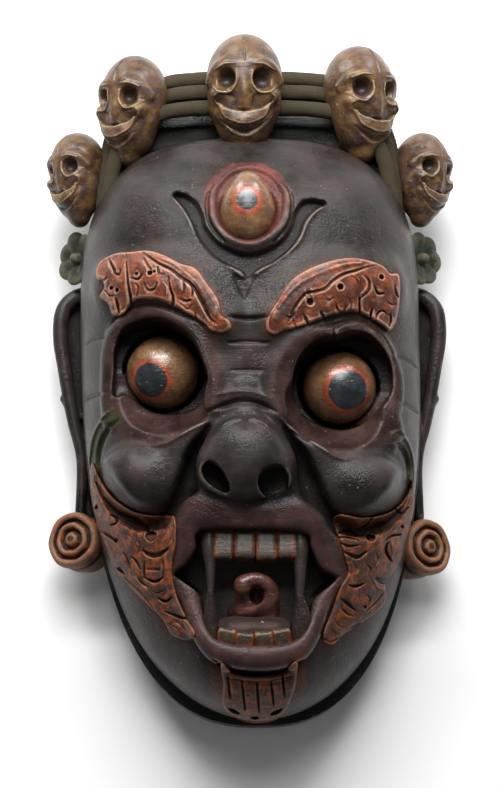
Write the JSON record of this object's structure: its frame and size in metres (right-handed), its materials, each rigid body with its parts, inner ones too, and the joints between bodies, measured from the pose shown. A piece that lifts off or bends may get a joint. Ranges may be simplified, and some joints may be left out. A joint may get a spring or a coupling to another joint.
{
  "type": "cham dance mask",
  "caption": "Carved and painted wooden Tibetan cham mask of a wrathful guardian with a third eye, a skull crown, long ears and an open fanged mouth, lying face up.",
  "frame": {"origin": "under the middle of the mask, on the plane of its flat back rim", "axes": "+X to the viewer's right, +Y from the chin to the crown, +Z out of the face, away from the rim"},
  "size_m": [0.2398, 0.4014, 0.154],
  "materials": {
    "painted_wood": "worn satin paint, near black, with orange brows and beard, brown lips and ochre skulls"
  },
  "bodies": {
    "root": {"mask": "painted_wood"}
  },
  "joints": []
}
